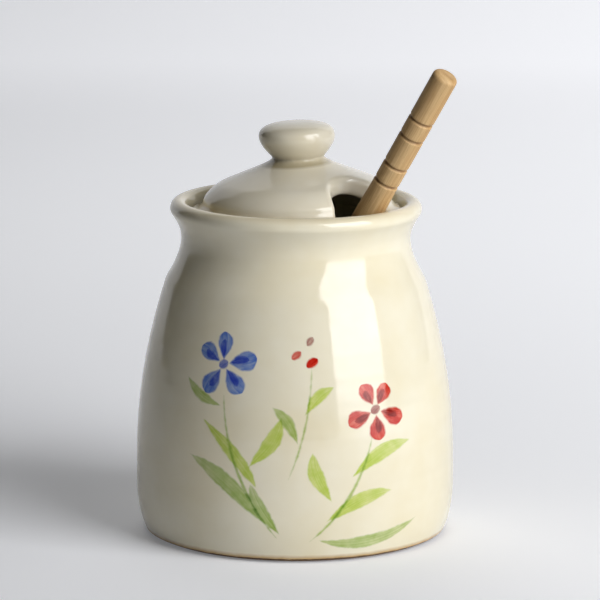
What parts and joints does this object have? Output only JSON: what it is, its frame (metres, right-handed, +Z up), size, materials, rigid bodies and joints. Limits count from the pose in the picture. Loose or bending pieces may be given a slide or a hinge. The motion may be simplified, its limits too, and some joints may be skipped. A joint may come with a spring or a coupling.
{
  "type": "honey pot",
  "caption": "Thrown stoneware honey pot with a loose notched lid and a turned wooden dipper leaning in it.",
  "frame": {"origin": "centre of the pot's foot, on the surface it stands on", "axes": "+Z up along the pot's turning axis, the pictured front faces -Y, and the lid's notch faces the front right, 46 degrees from -Y towards +X"},
  "size_m": [0.102, 0.102, 0.154],
  "materials": {
    "pot_glaze": "glossy cream glaze with a painted band of leaves and blossoms",
    "lid_glaze": "glossy greyish cream glaze",
    "dipper_wood": "bare turned beech, lightly oiled"
  },
  "bodies": {
    "pot_body": {"pot": "pot_glaze"},
    "lid_body": {"lid": "lid_glaze"},
    "dipper_body": {"dipper": "dipper_wood"}
  },
  "joints": [
    {"name": "lid_lift", "type": "slide", "parent": "pot_body", "child": "lid_body", "axis": [0, 0, 1], "range_m": [0, 0.06]},
    {"name": "dipper_draw", "type": "slide", "parent": "pot_body", "child": "dipper_body", "axis": [0.4242, -0.3314, 0.8428], "range_m": [0, 0.06]}
  ]
}
